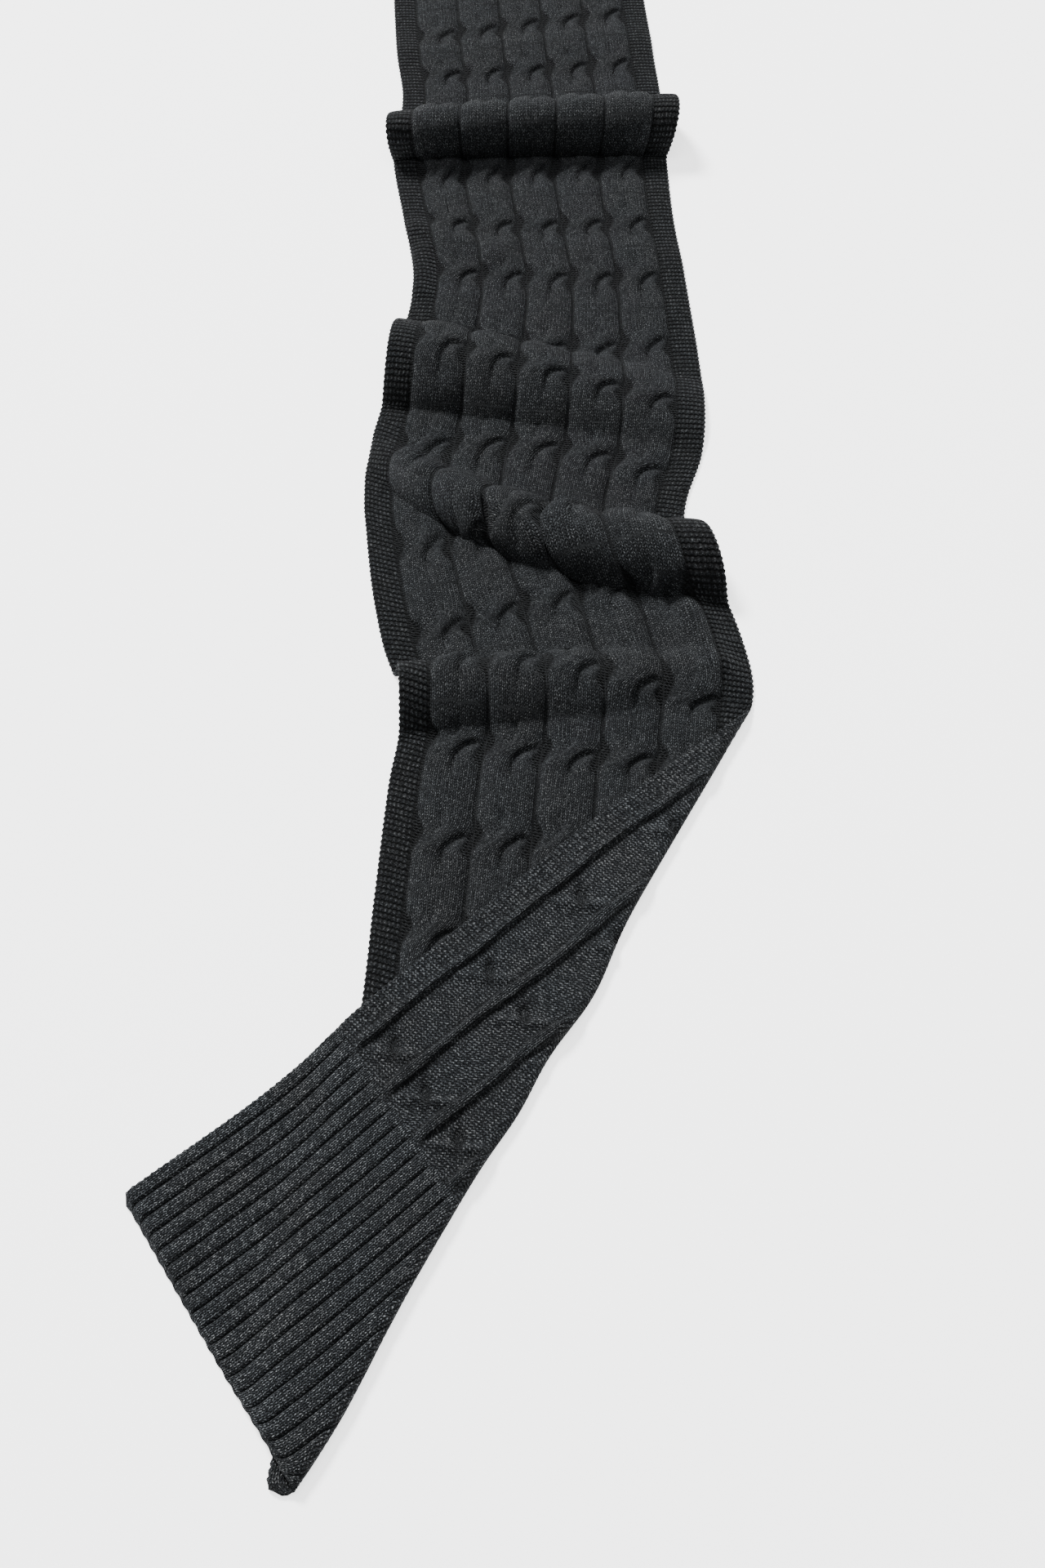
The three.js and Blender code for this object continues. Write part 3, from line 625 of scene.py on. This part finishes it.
def cable_knit(place):
    """The right side of the panel: crossed cables, gutters and garter borders."""
    t, length = place["t"], place["length"]
    index, c = cable_places(t)
    phase = crossing_phase(place)
    upper = strand_shift(phase)
    near = near_crossing(phase)
    tuck = strand_end(c, phase)
    ease = strand_end(-c, -phase)
    half = 0.985 - 0.30 * np.exp(-((phase + 0.09 * np.sign(c)) / 0.12)**2)
    crown = np.clip(1 - np.abs(c / half)**2.7, 0, 1)**0.6
    ridge = near * np.exp(-((c - upper) / 0.40)**4)
    rise = CABLE_RISE * crown * (1 + 0.22 * ridge - 0.88 * tuck - 0.62 * ease)
    depth = np.minimum(t, 1 - t) / BORDER
    border = depth < 1
    dome = np.sqrt(np.clip(1 - (2 * depth - 1)**2, 0, 1))
    rise = np.where(border, BORDER_RISE * dome, rise)
    # Painted shade: the shade value darkens the gutters between the cables, the creases where a strand tucks under
    # at a crossing, and the garter borders, most at their inner edge.
    gutter = 1 - smooth(rise / (0.42 * CABLE_RISE))
    shade = np.where(border, 0.56 + 0.44 * smooth((depth - 0.86) / 0.14), np.maximum(gutter, 0.6 * tuck**2))
    cell = cell_corners(np.stack([c, phase], 2))
    cell_c, cell_phase = cell[:, :, 0], cell[:, :, 1]
    middle_c, middle_phase = cell_c.mean(-1, keepdims=True), cell_phase.mean(-1, keepdims=True)
    on_upper = np.abs(middle_c - strand_shift(middle_phase)) < 0.43
    rest = 0.5 * np.sign(middle_phase)
    drift = rest - strand_shift(cell_phase)
    run = cell_c + np.where(on_upper, drift, -drift)
    cell_t = cell_corners(t[..., None])[:, :, 0]
    cell_index = cable_places(cell_t.mean(-1, keepdims=True))[0]
    cell_border = np.minimum(cell_t, 1 - cell_t).mean(-1, keepdims=True) < BORDER
    across_cable = BORDER_STITCHES + CABLE_STITCHES * (cell_index + (run + 1) / 2)
    stitch = np.where(cell_border, cell_t * BORDER_STITCHES / BORDER, across_cable)
    course = cell_corners((length / STITCH_ROW)[..., None])[:, :, 0]
    garter = np.where(border, 1.0, 0.0)
    return {"rise": joined(rise, place["y"]), "corners": np.stack([stitch, course], -1),
            "shade": shade, "garter": garter,
            "purl": np.where(border, 0.0, smooth((gutter - 0.5) / 0.3))}


def purl_knit(place):
    """The wrong side of the panel: narrow knit ridges behind the gutters, purl bumps between them,
    hollows at the crossings, and moss borders."""
    t, length = place["t"], place["length"]
    index, c = cable_places(t)
    phase = crossing_phase(place)
    off = 1 - np.abs(c)
    ridge = 1 - smooth((off - 0.06 - 0.09 * near_crossing(phase)) / 0.15)
    pit = np.exp(-((c - 0.05) / 0.34)**2 - ((phase - 0.12 * c) / 0.050)**2)
    pucker = near_crossing(phase) * np.exp(-((c + 0.30 + 4 * phase) / 0.26)**2)
    depth = np.minimum(t, 1 - t) / BORDER
    border = depth < 1
    rim = smooth((depth - 0.80) / 0.12)
    rise = RIDGE_RISE * np.maximum(ridge, 0.95 * pucker) - PIT_DEPTH * pit
    rise = np.where(border, RIDGE_RISE * (0.45 + 0.55 * rim), rise)
    # Painted shade: dark lines beside the knit ridges, in the hollows at the crossings, and along the inner edge of
    # the moss borders.
    beside = np.exp(-((off - 0.24) / 0.07)**2)
    inner = np.exp(-((depth - 0.78) / 0.05)**2)
    shade = np.where(border, 0.8 * inner, np.clip(0.75 * beside + 1.6 * pit, 0, 1.25))
    stitch = cell_corners((t * STITCHES)[..., None])[:, :, 0]
    course = cell_corners((length / STITCH_ROW)[..., None])[:, :, 0]
    purl = np.where(border, 1.0, 1 - smooth((ridge - 0.35) / 0.3))
    return {"rise": joined(rise, place["y"]), "corners": np.stack([stitch, course], -1),
            "shade": shade, "garter": np.where(border, 0.35, 0.0), "purl": purl}


border_shares = BORDER * np.array([0, 0.02, 0.05, 0.10, 0.19, 0.32, 0.46, 0.60, 0.73, 0.84, 0.93])
cable_stops = (1 - np.cos(np.linspace(0, math.pi, 29))) / 2 * 0.35 + np.linspace(0, 1, 29) * 0.65
panel = np.concatenate([BORDER + (1 - 2 * BORDER) / CABLES * (cable + cable_stops[:-1])
                        for cable in range(CABLES)])
PANEL_SHARES = np.concatenate([border_shares, panel, [1 - BORDER], 1 - border_shares[::-1]])

# Painted light: the cabled and purl sides are copies of the same wool, darkened to 0.60 and 0.78 as their parts are
# lit.
CABLE_WOOL = wool("cable_wool", 0.0015, 0.60)
PURL_WOOL = wool("purl_wool", 0.0015, 0.78)

far_cloth = laid_cloth(
    "far_cloth", [(FAR_RIB, far_roll["back"]), (far_roll["back"], far_roll["front"]),
                  (far_roll["front"], PAST_ROLL)],
    PANEL_SHARES, cable_knit, purl_knit, [far_roll], far_folds, (False, False), (CABLE_WOOL, PURL_WOOL))
dressed(far_cloth, ["far_stretch"])

# The middle cabled stretch
# The same cloth, lying flat and then lifted into a soft swell that is tall at its left edge and
# runs out towards the right.

PAST_LEFT_SWELL = (0.382, 0.328, 0.295)
left_swell = {"back": (0.495, 0.465, 0.425), "front": (0.398, 0.372, 0.343), "height": (0.036, 0.022, 0.005),
              "lean": (0, 0, 0), "spread": (0, 0, 0)}
middle_folds = [
    {"from": (-0.098, 0.628), "to": (-0.030, 0.590), "rise": 0.0040, "width": 0.014},
    {"from": (-0.094, 0.545), "to": (-0.090, 0.600), "rise": 0.0035, "width": 0.010},
    {"from": (0.060, 0.600), "to": (0.140, 0.585), "rise": 0.0015, "width": 0.020},
]
middle_cloth = laid_cloth(
    "middle_cloth", [(PAST_ROLL, left_swell["back"]), (left_swell["back"], left_swell["front"]),
                     (left_swell["front"], PAST_LEFT_SWELL)],
    PANEL_SHARES, cable_knit, purl_knit, [left_swell], middle_folds, (False, False), (CABLE_WOOL, PURL_WOOL))
dressed(middle_cloth, ["middle_stretch"])

# The cabled stretch with the right swell
# Here the cloth is pushed up on its right side into a high swell, whose front falls steeply and is
# creased where it meets the flat cloth.

PAST_SWELLS = (0.168, 0.150, 0.135)
right_swell = {"back": (0.365, 0.284, 0.247), "front": (0.320, 0.215, 0.176), "height": (0.0, 0.027, 0.037),
               "lean": (0, 0, 0.003), "spread": (0.002, -0.014, 0.004)}
swell_folds = [
    {"from": (0.028, 0.247), "to": (0.030, 0.206), "rise": -0.0070, "width": 0.0060},
    {"from": (-0.019, 0.260), "to": (-0.013, 0.220), "rise": -0.0050, "width": 0.0055},
    {"from": (0.048, 0.240), "to": (0.055, 0.212), "rise": 0.0035, "width": 0.0110},
    {"from": (-0.075, 0.300), "to": (-0.020, 0.262), "rise": 0.0030, "width": 0.0120},
    {"from": (0.020, 0.330), "to": (0.090, 0.310), "rise": 0.0020, "width": 0.0140},
]
beside_swell = [
    {"from": (0.132, 0.165), "to": (0.150, 0.112), "rise": 0.0060, "width": 0.0130},
    {"from": (0.076, 0.168), "to": (0.084, 0.125), "rise": 0.0028, "width": 0.0120},
]
swell_cloth = laid_cloth(
    "swell_cloth", [(PAST_LEFT_SWELL, right_swell["back"]), (right_swell["back"], right_swell["front"]),
                    (right_swell["front"], PAST_SWELLS)],
    PANEL_SHARES, cable_knit, purl_knit, [right_swell], swell_folds + beside_swell, (False, False),
    (CABLE_WOOL, PURL_WOOL))
dressed(swell_cloth, ["swell_stretch"])

# The near cabled stretch and the turned cloth
# One stretch of cloth: a small pleat stands at its left, and then it is turned over along a slanting
# fold, so that its wrong side shows with the ridges behind the gutters and the hollows of the cables.

near_pleat = {"back": (0.097, 0.118, 0.118), "front": (0.045, 0.060, 0.080), "height": (0.026, 0.015, 0.0),
              "lean": (0.012, 0.005, 0), "spread": (0, 0, 0)}
near_cloth = laid_cloth(
    "near_cloth", [(PAST_SWELLS, near_pleat["back"]), (near_pleat["back"], near_pleat["front"]),
                   (near_pleat["front"], NEAR_RIB)],
    PANEL_SHARES, cable_knit, purl_knit, [near_pleat], beside_swell, (False, False), (CABLE_WOOL, PURL_WOOL))
dressed(near_cloth, ["near_stretch", "turned_stretch"])

# The near ribbed end
# The bound-off end of the scarf, in the same rib as the far one. Nearly all of it is turned over
# with the cloth, and it spreads a little towards its end.

# Painted light: the turned rib is the same wool as the rib beneath it, made lighter still as if more brightly lit.
TURNED_RIB_WOOL = wool("turned_rib_wool", 0.0015, 1.16)
near_rib = laid_cloth("near_rib_cloth", [(NEAR_RIB, NEAR_END)], RIB_SHARES, rib_knit, rib_knit, [], [],
                      (False, True), (RIB_WOOL, TURNED_RIB_WOOL))
dressed(near_rib, ["near_rib_under", "near_rib_turned"])

# The floor
# A plain pale surface, so large that its edges never show.

FLOOR_SIZE = 14.0
FLOOR_LOW = -0.0002
bpy.ops.object.select_all(action="DESELECT")
bpy.ops.mesh.primitive_plane_add(size=FLOOR_SIZE, location=(0, 0, FLOOR_LOW))
floor = bpy.context.active_object
floor.name = "floor"
paper = bpy.data.materials.new("pale_paper")
paper.use_nodes = True
paper.node_tree.nodes["Principled BSDF"].inputs["Base Color"].default_value = (0.86, 0.865, 0.87, 1)
paper.node_tree.nodes["Principled BSDF"].inputs["Roughness"].default_value = 0.9
paper.node_tree.nodes["Principled BSDF"].inputs["Emission Color"].default_value = (1, 1, 1, 1)
paper.node_tree.nodes["Principled BSDF"].inputs["Emission Strength"].default_value = 1.9
paper.node_tree.nodes["Principled BSDF"].inputs["Specular IOR Level"].default_value = 0.1
floor.data.materials.append(paper)

# The light
# A large soft light high up beyond the scarf on its left, and a bright even room.


def soft_light(name, place, aim, size, watts):
    lamp = bpy.data.lights.new(name, "AREA")
    lamp.shape = "DISK"
    lamp.size = size
    lamp.energy = watts
    light = bpy.data.objects.new(name, lamp)
    light.location = place
    light.rotation_mode = "QUATERNION"
    light.rotation_quaternion = (aim - light.location).to_track_quat("-Z", "Y")
    bpy.context.scene.collection.objects.link(light)
    return light


middle = (cad_box[0] + cad_box[1]) / 2
soft_light("key_light", (-4.8, 7.2, 8.4), middle, 3.2, 4100)
soft_light("top_light", (-0.3, -0.2, 3.6), middle, 3.0, 95)
room = bpy.data.worlds.new("room")
room.use_nodes = True
room.node_tree.nodes["Background"].inputs["Color"].default_value = (0.97, 0.985, 1.0, 1)
room.node_tree.nodes["Background"].inputs["Strength"].default_value = 0.36
bpy.context.scene.world = room

# The camera
# It looks down at 55 degrees along the scarf, from the near end.

LOOK_DOWN = math.radians(55)
DISTANCE = 1.418
LENS = 43.7
camera = bpy.data.cameras.new("camera")
camera.lens = LENS
camera.sensor_width = 36.0
viewer = bpy.data.objects.new("camera", camera)
viewer.location = MOVE + np.array([0, -DISTANCE * math.cos(LOOK_DOWN), DISTANCE * math.sin(LOOK_DOWN)])
viewer.rotation_euler = (math.pi / 2 - LOOK_DOWN, 0, 0)
bpy.context.scene.collection.objects.link(viewer)
bpy.context.scene.camera = viewer
